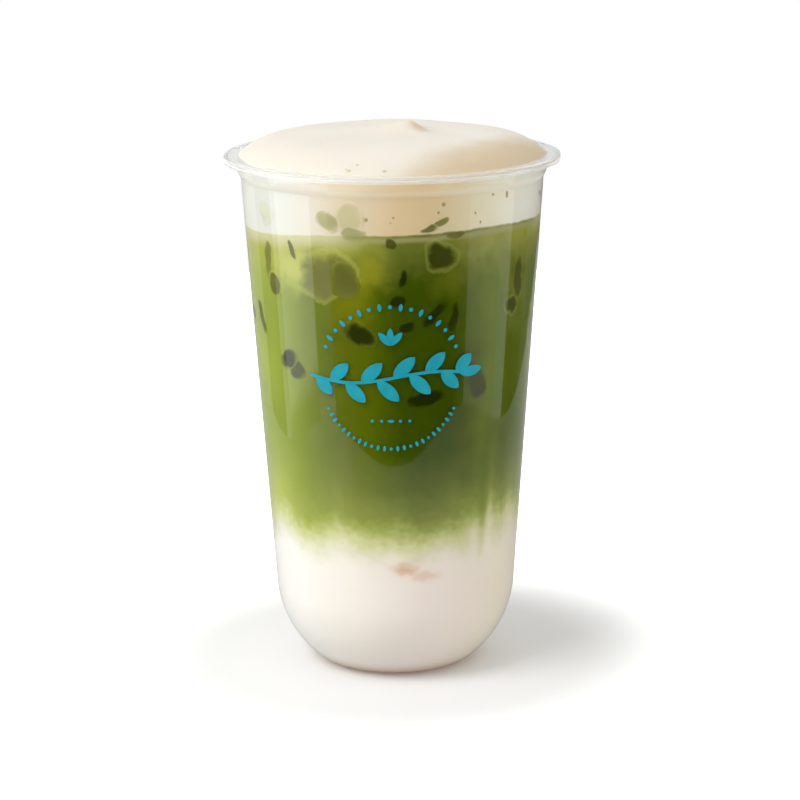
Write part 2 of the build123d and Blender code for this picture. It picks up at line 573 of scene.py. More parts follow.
# colours by direction round the wall: degrees from the front, to the right
colours = {
    # the tea's own tone with painted light on the left, where the lamps shine into it, and painted shade at
    # the front
    "teaAndLightByTurn": [
        (-120, (0.26, 0.32, 0.05)),
        (-75, (0.385, 0.45, 0.075)),
        (-58, (0.35, 0.42, 0.07)),
        (-44, (0.25, 0.31, 0.035)),
        (-33, (0.165, 0.215, 0.014)),
        (-22, (0.14, 0.172, 0.008)),
        (-10, (0.112, 0.152, 0.002)),
        (3, (0.057, 0.092, 0.001)),
        (22, (0.06, 0.096, 0.001)),
        (31, (0.08, 0.115, 0.002)),
        (43, (0.155, 0.207, 0.005)),
        (55, (0.125, 0.172, 0.006)),
        (72, (0.165, 0.22, 0.012)),
        (120, (0.13, 0.18, 0.01)),
        (180, (0.15, 0.20, 0.015)),
    ],
    # the foam's colour with painted shade: tanner and darker at the front, which gets little light
    "foamAndShadeByTurn": [
        (-110, (0.84, 0.79, 0.68)),
        (-70, (0.76, 0.765, 0.715)),
        (-45, (0.74, 0.745, 0.69)),
        (-32, (0.80, 0.75, 0.67)),
        (-18, (0.81, 0.71, 0.53)),
        (-8, (0.79, 0.675, 0.49)),
        (3, (0.79, 0.64, 0.40)),
        (13, (0.81, 0.65, 0.40)),
        (25, (0.85, 0.74, 0.50)),
        (42, (0.94, 0.90, 0.74)),
        (62, (0.95, 0.94, 0.86)),
        (90, (0.89, 0.85, 0.74)),
        (180, (0.82, 0.73, 0.56)),
    ],
    "milkByTurn": [
        (-60, (0.88, 0.86, 0.82)),
        (-10, (0.88, 0.825, 0.755)),
        (15, (0.90, 0.82, 0.76)),
        (60, (0.92, 0.84, 0.71)),
        (180, (0.88, 0.82, 0.74)),
    ],
    # how much of the foam's colour the top of the tea takes up
    "paleTopByTurn": [
        (-120, 0.8),
        (-50, 0.85),
        (-30, 0.9),
        (-12, 0.75),
        (1, 0.35),
        (14, 0.32),
        (28, 0.62),
        (60, 0.85),
        (180, 0.6),
    ],
    # brighter drifts in the tea round the ice: centre, half sizes, strength and colour
    "glows": [
        ((36.8, -23.5, 112.0), (9.0, 12.0, 15.0), 0.95, (0.24, 0.27, 0.05, 1)),
        ((-12.5, -39.0, 113.5), (9.0, 12.0, 11.0), 0.75, (0.235, 0.235, 0.008, 1)),
        ((-6.5, -41.0, 122.0), (5.5, 9.0, 9.0), 0.75, (0.32, 0.31, 0.02, 1)),
        ((16.5, -38.0, 118.5), (9.0, 9.0, 6.5), 0.6, (0.18, 0.20, 0.012, 1)),
        ((27.5, -29.5, 112.0), (5.5, 9.0, 13.0), 0.35, (0.22, 0.28, 0.02, 1)),
        ((-28.0, -30.0, 121.0), (9.0, 12.0, 9.0), 0.75, (0.55, 0.58, 0.14, 1)),
    ],
    "lowLeft": (0.19, 0.25, 0.03, 1),
    "lowRight": (0.045, 0.065, 0.003, 1),
    "stirredWithFoam": (0.47, 0.46, 0.095, 1),
    "stirredWithMilk": (0.56, 0.60, 0.14, 1),
    "filmLeft": (0.62, 0.60, 0.34, 1),
    "filmRight": (0.42, 0.40, 0.17, 1),
    "lineUnderFoam": (0.055, 0.08, 0.006, 1),
    "syrupTrace": (0.74, 0.48, 0.33, 1),
    # the milk's lower edge with a painted contact shadow where the cup stands
    "ringWithContactShade": (0.66, 0.46, 0.30, 1),
    # painted light: the foam looks paler through the cup's step
    "stepLightOnFoam": (0.90, 0.84, 0.72, 1),
    "foamMottle": ((0.97, 0.96, 0.94, 1), (1.0, 1.0, 1.0, 1)),
}

# directions are shares of a turn here, with the front at a half
shading = {
    "wander": 0.05,  # how far the noise moves the colours round the wall
    "swing": 0.5,  # how much the noise darkens and brightens the tea
    "lowRightHeights": (92.0, 68.0),
    "lowRightTurns": (0.55, 0.64),
    "lowRightStrength": 0.25,
    "lowLeftHeights": (74.0, 20.0),
    "lowLeftTurns": (0.38, 0.33),
    "lowLeftStrength": 0.3,
    # painted contact shadow at the bottom of the milk
    "contactShadeHeights": (5.0, 0.5),
    "contactShadeStrength": 0.8,
    # a band of painted light on the foam behind the cup's step
    "stepLightBand": (stepLow + 0.9, 1.3),
    "stepLightStrength": 0.5,
}

# how the layers run into each other, in millimetres up from the milk or down from the foam
mixing = {
    "milkEdge": 5.7,
    "wisps": 7.0,  # how far each noise shifts the milk's edge
    "clouds": 3.6,
    "curls": 4.4,
    "allTea": 10.2,
    "allMilk": -5.4,
    "milkReach": 30.0,  # how far up the milk makes the tea paler, by the shares below
    "paleShares": [(0.0, 1.0), (0.15, 0.92), (0.27, 0.64), (0.4, 0.36), (0.66, 0.13), (1.0, 0.0)],
    "foamReach": 17.0,
    "foamDrifts": 14.0,
    # syrup in the milk: centre, half sizes and share
    "syrup": [((2.6, -34.5, 35.4), (5.4, 9.0, 2.7), 1.0), ((7.8, -34.0, 33.4), (5.4, 9.0, 2.4), 0.6)],
    "syrupStrength": 0.9,
    # where foam and tea meet: edges are in millimetres under the foam
    "filmMiddle": 28.0,  # degrees from the front
    "filmFade": (52.0, 34.0),
    "softFilm": (5.0, 0.4),
    "crispFilm": (1.3, 1.4),
    "crispStrength": 0.85,
    "foamEdge": (-0.3, 0.3),
    "thinLine": (0.15, 0.7),
    "lineStrength": 0.4,
}


def spot(tree, place, centre, sizes, uneven):
    # 1 at a place in the drink, fading out at its sizes
    away = lengthOf(tree, move(tree, "DIVIDE", move(tree, "SUBTRACT", place, centre), sizes))
    return fade(tree, calc(tree, "ADD", away, uneven), 1.1, 0.1)


def wandering(tree, share, swirl):
    most = shading["wander"]
    return calc(tree, "MULTIPLY_ADD", swirl, most, calc(tree, "SUBTRACT", share, most / 2))


def teaColour(tree, place, share, noises, depth, overMilk):
    # darkest at the front with painted shade and brightest on the left with painted light, over the tea's
    # own tone; paler under the foam, in drifts round the ice and down towards the milk
    swirl, fine, _, _ = noises
    up = axesOf(tree, place)[2]
    tea = roundRamp(tree, wandering(tree, share, swirl), colours["teaAndLightByTurn"])
    swing = shading["swing"]
    tea = scaled(tree, tea, calc(tree, "MULTIPLY_ADD", swirl, swing, 1 - swing / 2))
    aside = fade(tree, share, *shading["lowRightTurns"])
    low = calc(tree, "MULTIPLY", fade(tree, up, *shading["lowRightHeights"]), aside)
    tea = tinted(tree, tea, low, shading["lowRightStrength"], colours["lowRight"])
    aside = fade(tree, share, *shading["lowLeftTurns"])
    low = calc(tree, "MULTIPLY", bump(tree, up, *shading["lowLeftHeights"]), aside)
    tea = tinted(tree, tea, low, shading["lowLeftStrength"], colours["lowLeft"])
    drifts = mixing["foamDrifts"]
    drift = calc(tree, "MULTIPLY_ADD", fine, drifts, calc(tree, "SUBTRACT", depth, drifts / 2))
    pale = calc(tree, "POWER", fade(tree, drift, mixing["foamReach"], 0.5), 1.2)
    pale = calc(tree, "MULTIPLY", pale, roundRamp(tree, share, greys(colours["paleTopByTurn"])))
    tea = blend(tree, pale, tea, colours["stirredWithFoam"])
    uneven = calc(tree, "MULTIPLY_ADD", fine, 1.2, -0.6)
    for centre, sizes, strength, colour in colours["glows"]:
        tea = tinted(tree, tea, spot(tree, place, centre, sizes, uneven), strength, colour)
    height = calc(tree, "DIVIDE", overMilk, mixing["milkReach"])
    mixed = ramp(tree, height, greys(mixing["paleShares"]))
    return blend(tree, mixed, tea, colours["stirredWithMilk"])


def milkColour(tree, place, share, noises):
    # with a faint trace of syrup near the front, and browner where the cup stands: the milk's lower edge
    # with a painted contact shadow
    milk = roundRamp(tree, share, colours["milkByTurn"])
    broken = calc(tree, "SUBTRACT", noises[3], 0.5)
    trace = 0.0
    for centre, sizes, strength in mixing["syrup"]:
        near = calc(tree, "MULTIPLY", spot(tree, place, centre, sizes, broken), strength)
        trace = calc(tree, "MAXIMUM", near, trace)
    milk = tinted(tree, milk, trace, mixing["syrupStrength"], colours["syrupTrace"])
    low = fade(tree, axesOf(tree, place)[2], *shading["contactShadeHeights"])
    return tinted(tree, milk, low, shading["contactShadeStrength"], colours["ringWithContactShade"])


def foamColour(tree, place, share, noises):
    # warmer and darker at the front with painted shade, and paler behind the cup's step with painted light
    swirl, fine, _, _ = noises
    foam = roundRamp(tree, wandering(tree, share, swirl), colours["foamAndShadeByTurn"])
    band = bump(tree, axesOf(tree, place)[2], *shading["stepLightBand"])
    foam = tinted(tree, foam, band, shading["stepLightStrength"], colours["stepLightOnFoam"])
    return blend(tree, 1.0, foam, blend(tree, fine, *colours["foamMottle"]), "MULTIPLY")


def makeDrinkColour():
    # the whole drink seen through the wall: milk, tea, foam and how they run into each other
    inputs = {"Place": ("Vector", None), "Under Foam": ("Float", 10.0), "Over Milk": ("Float", 30.0)}
    tree, given, taken = newGroup("drinkColour", "ShaderNodeTree", inputs, {"Color": "Color"})
    place = move(tree, "MULTIPLY", given["Place"], (1000.0, 1000.0, 1000.0))
    axes = axesOf(tree, place)
    turn = calc(tree, "ARCTAN2", axes[0], calc(tree, "MULTIPLY", axes[1], -1.0))
    share = calc(tree, "MULTIPLY_ADD", turn, 1 / (2 * pi), 0.5)
    swirl = cloud(tree, place, 0.045, 3.0)
    fine = cloud(tree, place, 0.16, 3.0)
    wisps = cloud(tree, place, 0.13, 3.5, (1.0, 1.0, 0.6))
    curls = cloud(tree, place, 0.42, 4.0, (1.0, 1.0, 1.3))
    noises = (swirl, fine, wisps, curls)
    depth = given["Under Foam"]
    overMilk = calc(tree, "SUBTRACT", given["Over Milk"], mixing["milkEdge"])
    overMilk = calc(tree, "MULTIPLY_ADD", wisps, mixing["wisps"], overMilk)
    overMilk = calc(tree, "MULTIPLY_ADD", fine, mixing["clouds"], overMilk)
    overMilk = calc(tree, "MULTIPLY_ADD", calc(tree, "SUBTRACT", curls, 0.5), mixing["curls"], overMilk)
    tea = teaColour(tree, place, share, noises, depth, overMilk)
    milk = milkColour(tree, place, share, noises)
    drinkPart = blend(tree, fade(tree, overMilk, mixing["allTea"], mixing["allMilk"]), tea, milk)
    # where the foam sits on the tea: a soft film on the left, a dark line with a film on the right
    edge = calc(tree, "MULTIPLY_ADD", fine, 0.8, calc(tree, "SUBTRACT", depth, 0.4))
    degrees = calc(tree, "MULTIPLY", turn, 180 / pi)
    away = calc(tree, "ABSOLUTE", calc(tree, "SUBTRACT", degrees, mixing["filmMiddle"]))
    crisp = fade(tree, away, *mixing["filmFade"])
    soft = calc(tree, "SUBTRACT", 1.0, crisp)
    film = fade(tree, edge, *mixing["softFilm"])
    drinkPart = tinted(tree, drinkPart, film, soft, colours["filmLeft"])
    film = bump(tree, edge, *mixing["crispFilm"])
    strength = calc(tree, "MULTIPLY", crisp, mixing["crispStrength"])
    drinkPart = tinted(tree, drinkPart, film, strength, colours["filmRight"])
    foam = foamColour(tree, place, share, noises)
    colour = blend(tree, fade(tree, edge, *mixing["foamEdge"]), foam, drinkPart)
    strength = calc(tree, "MULTIPLY", crisp, mixing["lineStrength"])
    line = calc(tree, "MULTIPLY", bump(tree, edge, *mixing["thinLine"]), strength)
    colour = tinted(tree, colour, line, fade(tree, curls, 0.3, 0.6), colours["lineUnderFoam"])
    feed(tree, taken["Color"], colour)
    return tree


drinkGroup = makeDrinkColour()


def noted(tree, name):
    return addNode(tree, "ShaderNodeAttribute", attribute_name=name).outputs["Fac"]


def drinkColour(tree):
    made = tree.nodes.new("ShaderNodeGroup")
    made.node_tree = drinkGroup
    feed(tree, made.inputs["Place"], placeIn(tree))
    feed(tree, made.inputs["Under Foam"], noted(tree, "underFoam"))
    feed(tree, made.inputs["Over Milk"], noted(tree, "overMilk"))
    return made.outputs["Color"]


def plainSurface(tree, colour, rough, softness=0.0, reach=(1.0, 0.7, 0.45), gloss=0.0, normal=None):
    inputs = {
        "Base Color": colour,
        "Roughness": rough,
        "Specular IOR Level": gloss,
        "Subsurface Weight": softness,
        "Subsurface Radius": reach,
        "Subsurface Scale": 0.003,
    }
    if normal:
        inputs["Normal"] = normal
    body = addNode(tree, "ShaderNodeBsdfPrincipled", inputs)
    ends(tree, body)


def paintLayer(piece, name, softness, reach):
    material, tree = newMaterial(name)
    skinGrain = grain(tree, placeIn(tree), 240.0, 0.6)
    rough = calc(tree, "MULTIPLY_ADD", skinGrain["Mask"], 0.15, 0.5)
    plainSurface(tree, drinkColour(tree), rough, softness, reach)
    paint(piece, material)


paintLayer(milkPiece, "milkLook", 0.3, (1.0, 0.8, 0.6))
paintLayer(teaPiece, "matchaLook", 0.0, (1.0, 0.7, 0.45))

foamTop = {
    "cream": (0.86, 0.81, 0.715, 1),
    "deepCream": (0.83, 0.77, 0.66, 1),
    "tan": (0.68, 0.55, 0.37, 1),
    "tanAndShadeTowards": (0.78, -0.62, 0),  # the side where the foam thins out over the tea is tanner, and carries painted shade away from the light
    "tanAndShadeFade": (0.0275, 0.043),
    "peakShade": (0.75, 0.56, 0.38, 1),
    "peakPlace": (0.0074, 0.0002, 0.154),
    "peakShrink": (210.0, 210.0, 100.0),
    "crownFade": (0.1455, 0.148),  # heights between which the crown takes over from the side
}


def foamLook():
    material, tree = newMaterial("foamLook")
    place = placeIn(tree)
    tiny = grain(tree, place, 900.0)
    broad = grain(tree, place, 130.0)
    crown = blend(tree, broad["Mask"], foamTop["cream"], foamTop["deepCream"])
    inputs = {0: place, 1: foamTop["tanAndShadeTowards"]}
    across = addNode(tree, "ShaderNodeVectorMath", inputs, operation="DOT_PRODUCT").outputs["Value"]
    across = calc(tree, "MULTIPLY_ADD", broad["Height"], 0.008, across)
    # tan with painted shade on the side away from the light
    crown = blend(tree, fade(tree, across, *foamTop["tanAndShadeFade"]), crown, foamTop["tan"])
    away = move(tree, "SUBTRACT", place, foamTop["peakPlace"])
    away = lengthOf(tree, move(tree, "MULTIPLY", away, foamTop["peakShrink"]))
    crown = tinted(tree, crown, fade(tree, away, 1.0, 0.1), 0.9, foamTop["peakShade"])
    over = fade(tree, axesOf(tree, place)[2], *foamTop["crownFade"])
    colour = blend(tree, over, drinkColour(tree), crown)
    rough = calc(tree, "MULTIPLY_ADD", tiny["Mask"], 0.12, 0.5)
    normal = raised(tree, 0.12, 0.0002, tiny["Height"])
    plainSurface(tree, colour, rough, softness=0.3, reach=(1.0, 0.65, 0.4), gloss=0.15, normal=normal)
    return material


paint(foamPiece, foamLook())
print("drink coloured")

ice = {
    # lumps at the wall: degrees from the front, height, width, tall, tilt, tone and pale outline
    "seen": [
        (-27.2, 119.5, 17.4, 12.8, 4, 0.68, 1.0),
        (-18.9, 118.0, 6.2, 8.4, 10, 0.6, 0.0),
        (19.0, 125.2, 9.6, 8.8, -16, 0.22, 0.7),
        (-1.6, 129.0, 2.6, 2.4, 0, 0.4, 0.1),
        (3.3, 119.0, 1.9, 4.6, -16, 0.02, 0.0),
        (1.1, 113.0, 3.0, 2.2, 0, 0.04, 0.0),
        (-56.6, 121.2, 3.0, 10.0, 5, 0.71, 0.3),
        (-53.6, 115.6, 4.8, 6.2, 10, 0.56, 0.8),
        (-41.5, 125.9, 1.5, 5.0, 22, 0.5, 0.1),
        (-67.0, 104.0, 2.2, 8.5, 26, 0.46, 0.1),
        (-13.6, 104.0, 8.8, 4.8, -20, 0.1, 0.2),
        (5.2, 105.9, 3.8, 2.9, 8, 0.0, 0.1),
        (16.7, 109.5, 2.2, 8.4, -38, 0.1, 0.0),
        (24.2, 108.6, 1.7, 6.8, -8, 0.16, 0.0),
        (-47.8, 95.1, 6.2, 4.8, 30, 0.08, 0.0),
        (-43.6, 91.8, 4.4, 4.8, 20, 0.3, 0.0),
        (13.2, 85.6, 9.0, 3.2, 10, 0.0, 0.0),
        (35.6, 88.3, 5.2, 7.0, 10, 0.26, 0.0),
        (58.8, 116.4, 4.0, 9.6, -4, 0.45, 0.5),
        (54.2, 108.6, 5.4, 5.8, -30, 0.42, 0.7),
        (-57.1, 135.3, 5.2, 5.4, 0, 1.0, 0.0),
        (-24.6, 135.4, 3.6, 5.6, 50, 0.84, 0.0),
        (-16.8, 136.0, 6.0, 6.2, 0, 0.93, 0.0),
        (-14.9, 131.8, 5.8, 2.5, 4, 0.84, 0.0),
        (14.4, 132.8, 4.6, 1.7, 8, 0.6, 0.0),
        (18.8, 134.6, 1.5, 4.2, -48, 0.66, 0.0),
        (23.8, 131.8, 3.6, 1.5, 8, 0.62, 0.0),
    ],
    "roundTheBack": 22,
    "backFrom": 78,
    "backSweep": 204,
    "backHeights": (84, 118),
    "backSizes": (3, 4, 5, 6, 12, 16),
    "largeBack": 8,  # larger lumps have a full outline
    "shallowest": 3.0,
    "deepest": 9.0,
    "halfDepth": 0.56,
    "sizeWithOutline": 0.93,
    "sizeWithout": 1.06,
    "reach": 0.32,  # how far past the wall's inner face a lump is pressed flat
    "press": 0.9,  # how far a lump's middle would stand past the inner face
    "unevenness": 4.0,
    "unevenSize": 7.0,
    "roundness": 0.8,
    "seed": 11,
    "tones": [
        (0.0, (0.016, 0.024, 0.002)),
        (0.2, (0.036, 0.043, 0.003)),
        (0.4, (0.085, 0.095, 0.012)),
        (0.6, (0.16, 0.165, 0.035)),
        (0.75, (0.25, 0.255, 0.07)),
        (0.9, (0.48, 0.48, 0.22)),
        (1.0, (0.66, 0.67, 0.43)),
    ],
    "halo": (0.52, 0.54, 0.13, 1),
}


def wallPlace(degreesRound, height, beyond):
    # a point on the straight wall's inner face, or so far beyond it, with the wall rolled out flat:
    # along the wall, into the drink, and up
    return radians(degreesRound) * (innerBase + height * wallSlope), -beyond, height


def iceRows():
    chance = random.Random(ice["seed"])
    rows = list(ice["seen"])
    for k in range(ice["roundTheBack"]):
        turn = ice["backFrom"] + ice["backSweep"] * (k + chance.random() * 0.8) / ice["roundTheBack"]
        size = chance.choice(ice["backSizes"])
        tall = size * chance.uniform(0.6, 1.3)
        tone = chance.uniform(0.15, 0.75)
        outline = 1.0 if size > ice["largeBack"] else chance.uniform(0, 0.5)
        height = chance.uniform(*ice["backHeights"])
        rows.append((turn, height, size, tall, chance.uniform(-45, 45), tone, outline))
    return rows


def placeOf(tree):
    return addNode(tree, "GeometryNodeInputPosition").outputs[0]


def shifted(tree, geometry, **where):
    # points at a new Position, or moved by an Offset
    return addNode(tree, "GeometryNodeSetPosition", {"Geometry": geometry, **where}).outputs[0]


def noteOf(tree, label, kind):
    note = addNode(tree, "GeometryNodeInputNamedAttribute", {"Name": label}, data_type=kind)
    return note.outputs["Attribute"]


def instanced(tree, points, shape):
    # the shape on every point, with the size and turn that the point notes
    turned = addNode(tree, "FunctionNodeEulerToRotation", {0: noteOf(tree, "turned", "FLOAT_VECTOR")})
    inputs = {"Points": points, "Instance": shape, "Rotation": turned.outputs[0]}
    inputs["Scale"] = noteOf(tree, "size", "FLOAT_VECTOR")
    made = addNode(tree, "GeometryNodeInstanceOnPoints", inputs).outputs[0]
    return addNode(tree, "GeometryNodeRealizeInstances", {0: made}).outputs[0]


def bentRound(tree, given, along, height, beyond):
    # a place on the rolled-out wall, or so far beyond it, bent round the cup
    wall = calc(tree, "MULTIPLY_ADD", height, given["Wall Slope"], given["Wall Radius"])
    radius = calc(tree, "ADD", wall, beyond)
    turn = calc(tree, "DIVIDE", along, wall)
    x = calc(tree, "MULTIPLY", radius, calc(tree, "SINE", turn))
    y = calc(tree, "MULTIPLY", radius, calc(tree, "MULTIPLY", calc(tree, "COSINE", turn), -1.0))
    return joined(tree, x, y, height)


lumpInputs = {
    "Geometry": ("Geometry", None),
    "Wall Radius": ("Float", innerBase * mm),
    "Wall Slope": ("Float", wallSlope),
    "Reach": ("Float", 0.0003),
    "Unevenness": ("Float", 0.001),
    "Uneven Size": ("Float", 0.004),
    "Roundness": ("Float", 0.5),
    "Detail": ("Int", 2),
    "Seed": ("Float", 0.0),
}


def makeLumpTree():
    # a rounded block on each point, made uneven, pressed flat at the cup's wall and bent round it
    tree, given, taken = newGroup("pressedLumps", "GeometryNodeTree", lumpInputs, {"Geometry": "Geometry"})
    block = addNode(tree, "GeometryNodeMeshCube", {"Size": (1, 1, 1)}).outputs[0]
    block = addNode(tree, "GeometryNodeSubdivideMesh", {"Mesh": block, "Level": given["Detail"]}).outputs[0]
    here = placeOf(tree)
    ball = scaled(tree, move(tree, "NORMALIZE", here), 0.58)
    inputs = {0: given["Roundness"], 4: here, 5: ball}
    rounder = addNode(tree, "ShaderNodeMix", inputs, data_type="VECTOR").outputs[1]
    lumps = instanced(tree, given["Geometry"], shifted(tree, block, Position=rounder))
    scale = calc(tree, "DIVIDE", 1.0, given["Uneven Size"])
    inputs = {"Vector": placeOf(tree), "W": given["Seed"], "Scale": scale, "Detail": 1.5}
    rough = addNode(tree, "ShaderNodeTexNoise", inputs, noise_dimensions="4D").outputs["Color"]
    push = scaled(tree, move(tree, "SUBTRACT", rough, (0.5, 0.5, 0.5)), given["Unevenness"])
    push = move(tree, "MULTIPLY", push, (1.0, 0.15, 1.0))  # hardly towards the wall
    lumps = shifted(tree, lumps, Offset=push)
    # how far each point goes past the inner face is kept for the material, then cut back to the reach
    axes = axesOf(tree, placeOf(tree))
    beyond = calc(tree, "MULTIPLY", axes[1], -1.0)
    inMillimetres = calc(tree, "MULTIPLY", beyond, 1000.0)
    inputs = {"Geometry": lumps, "Name": "pressed", "Value": inMillimetres}
    lumps = addNode(tree, "GeometryNodeStoreNamedAttribute", inputs, data_type="FLOAT").outputs[0]
    # darker lumps reach a hair further, so that no two lie at one depth
    reach = calc(tree, "MULTIPLY_ADD", noteOf(tree, "tone", "FLOAT"), -0.00006, given["Reach"])
    bent = bentRound(tree, given, axes[0], axes[2], calc(tree, "MINIMUM", beyond, reach))
    lumps = shifted(tree, lumps, Position=bent)
    lumps = addNode(tree, "GeometryNodeRealizeInstances", {0: lumps}).outputs[0]
    material = addNode(tree, "GeometryNodeSetMaterial", {"Geometry": lumps})
    feed(tree, taken["Geometry"], material.outputs[0])
    return tree, material


def growPiece(name, points, notes, tree, values):
    # points with their notes go through a tree and come back as a plain mesh
    mesh = bpy.data.meshes.new(name)
    mesh.from_pydata([tuple(c * mm for c in p) for p in points], [], [])
    for label, entries in notes.items():
        if isinstance(entries[0], tuple):
            note = mesh.attributes.new(label, "FLOAT_VECTOR", "POINT")
            for i, entry in enumerate(entries):
                note.data[i].vector = entry
        else:
            note = mesh.attributes.new(label, "FLOAT", "POINT")
            for i, entry in enumerate(entries):
                note.data[i].value = entry
    piece = placed(name, mesh)
    modifier = piece.modifiers.new(name, "NODES")
    modifier.node_group = tree
    for item in tree.interface.items_tree:
        if item.item_type == "SOCKET" and item.in_out == "INPUT" and item.name in values:
            modifier[item.identifier] = values[item.name]
    seen = piece.evaluated_get(bpy.context.evaluated_depsgraph_get())
    grown = bpy.data.meshes.new_from_object(seen)
    piece.modifiers.remove(modifier)
    piece.data = grown
    bpy.data.meshes.remove(mesh)
    grown.shade_smooth()
    return piece


def iceLook():
    # a core inside a paler outline, both blurred by the drink in front
    material, tree = newMaterial("iceLook")
    surroundings = drinkColour(tree)
    fine = grain(tree, placeIn(tree), 420.0)
    tone = noted(tree, "tone")
    outline = noted(tree, "outline")
    blurred = calc(tree, "SUBTRACT", noted(tree, "pressed"), 0.27)
    pressed = calc(tree, "MULTIPLY_ADD", fine["Height"], 0.54, blurred)
    mottled = calc(tree, "MULTIPLY_ADD", fine["Mask"], 0.1, calc(tree, "SUBTRACT", tone, 0.05))
    core = ramp(tree, mottled, ice["tones"])
    halo = blend(tree, 0.4, surroundings, ice["halo"])
    ring = calc(tree, "MULTIPLY", fade(tree, pressed, 0.1, 0.35), outline)
    colour = blend(tree, ring, surroundings, halo)
    start = calc(tree, "MULTIPLY_ADD", outline, 0.14, 0.16)  # cores begin inside the outline
    sharper = calc(tree, "MULTIPLY_ADD", outline, 0.4, 1.0)
    inside = calc(tree, "MULTIPLY", calc(tree, "SUBTRACT", pressed, start), sharper)
    strength = calc(tree, "MULTIPLY_ADD", fade(tree, tone, 0.72, 1.0), -0.5, 0.95)
    colour = blend(tree, calc(tree, "MULTIPLY", fade(tree, inside, -0.03, 0.56), strength), colour, core)
    plainSurface(tree, colour, calc(tree, "MULTIPLY_ADD", fine["Mask"], 0.2, 0.4))
    return material


lumpTree, lumpMaterial = makeLumpTree()


def makeIce():
    points = []
    notes = {"size": [], "turned": [], "tone": [], "outline": []}
    for turn, height, width, tall, tilt, tone, outline in iceRows():
        deep = min(ice["deepest"], max(ice["shallowest"], min(width, tall)))
        half = ice["halfDepth"] * deep
        points.append(wallPlace(turn, height, ice["press"] - half))
        # only the part past the drink's own surface shows, so the whole lump is made larger
        shown = sqrt(1 - (1 - (ice["press"] - drink["intoWall"]) / half) ** 2)
        grown = (ice["sizeWithOutline"] if outline > 0.5 else ice["sizeWithout"]) / shown
        size = (width * grown, deep, tall * grown)
        notes["size"].append(tuple(s * mm for s in size))
        notes["turned"].append((0.0, radians(-tilt), 0.0))
        notes["tone"].append(tone)
        notes["outline"].append(outline)
    lumpMaterial.inputs["Material"].default_value = iceLook()
    values = {
        "Reach": ice["reach"] * mm,
        "Unevenness": ice["unevenness"] * mm,
        "Uneven Size": ice["unevenSize"] * mm,
        "Roundness": ice["roundness"],
        "Detail": 4,
        "Seed": 3.0,
    }
    piece = growPiece("iceLumps", points, notes, lumpTree, values)
    noteLevels(piece)
    return finished(piece, None)


makeIce()
print("ice sunk in the tea")

bubbles = {
    # on the wall: degrees from the front, height, size, tall
    "onWall": [
        (-9.9, 135.8, 0.95, 0.95),
        (0.3, 136.4, 0.65, 0.65),
        (-0.8, 134.9, 0.5, 0.5),
        (19.1, 139.6, 1.1, 1.1),
        (17.2, 137.4, 0.75, 0.75),
        (32.3, 136.5, 0.6, 0.8),
        (34.8, 133.8, 0.6, 0.9),
        (40.2, 141.0, 1.0, 0.6),
        (47.6, 140.4, 0.9, 1.9),
    ],
    "onTop": [(-11.6, -40.2, 1.1), (-9.3, -38.8, 0.8), (-2.1, -41.8, 1.1), (-12.4, -39.6, 0.6)],
    "scatteredOnWall": 26,
    "wallHeights": (131, 139),
    "wallSizes": (0.5, 1.5),
    "scatteredOnTop": 14,
    "topRadius": 38,
    "topSizes": (0.3, 0.6),
    "topTallness": 0.6,
    "topSunk": 0.16,  # share of its size by which a bubble's middle lies under the foam
    "reach": 0.3,
    "unevenness": 0.1,
    "unevenSize": 4.0,
    "seed": 5,
    "brown": (0.56, 0.40, 0.20, 1),
    "deepBrown": (0.47, 0.34, 0.16, 1),
    "rimBrown": (0.78, 0.64, 0.42, 1),
}


def bubbleLook():
    material, tree = newMaterial("bubbleLook")
    fine = grain(tree, placeIn(tree), 900.0)
    colour = blend(tree, fine["Mask"], bubbles["brown"], bubbles["deepBrown"])
    colour = blend(tree, fade(tree, noted(tree, "pressed"), 0.05, 0.3), bubbles["rimBrown"], colour)
    plainSurface(tree, colour, calc(tree, "MULTIPLY_ADD", fine["Mask"], 0.2, 0.3))
    return material


def makeBubbles():
    chance = random.Random(bubbles["seed"])
    onWall = list(bubbles["onWall"])
    for _ in range(bubbles["scatteredOnWall"]):
        size = chance.uniform(*bubbles["wallSizes"])
        tall = size * chance.uniform(0.9, 1.4)
        onWall.append((chance.uniform(75, 285), chance.uniform(*bubbles["wallHeights"]), size, tall))
    onTop = list(bubbles["onTop"])
    for _ in range(bubbles["scatteredOnTop"]):
        turn = chance.uniform(0, 2 * pi)
        out = bubbles["topRadius"] * sqrt(chance.uniform(0.08, 1))
        onTop.append((out * cos(turn), out * sin(turn), chance.uniform(*bubbles["topSizes"])))
    points = []
    notes = {"size": [], "turned": []}
    for turn, height, size, tall in onWall:
        points.append(wallPlace(turn, height, 0.0))
        notes["size"].append((size * mm, size * mm, tall * mm))
        notes["turned"].append((0.0, 0.0, 0.0))
    for x, y, size in onTop:
        height = foamLevel(x, y) - size * bubbles["topSunk"]
        wall = innerBase + height * wallSlope
        wide = size * wall / hypot(x, y)  # the bending makes it narrower towards the middle
        points.append(wallPlace(atan2(x, -y) * 180 / pi, height, hypot(x, y) - wall))
        notes["size"].append((wide * mm, size * mm, size * bubbles["topTallness"] * mm))
        notes["turned"].append((0.0, 0.0, 0.0))
    lumpMaterial.inputs["Material"].default_value = bubbleLook()
    values = {
        "Reach": bubbles["reach"] * mm,
        "Unevenness": bubbles["unevenness"] * mm,
        "Uneven Size": bubbles["unevenSize"] * mm,
        "Roundness": 1.0,
        "Detail": 2,
        "Seed": 1.0,
    }
    return finished(growPiece("foamBubbles", points, notes, lumpTree, values), None)


makeBubbles()
print("bubbles set in the foam")

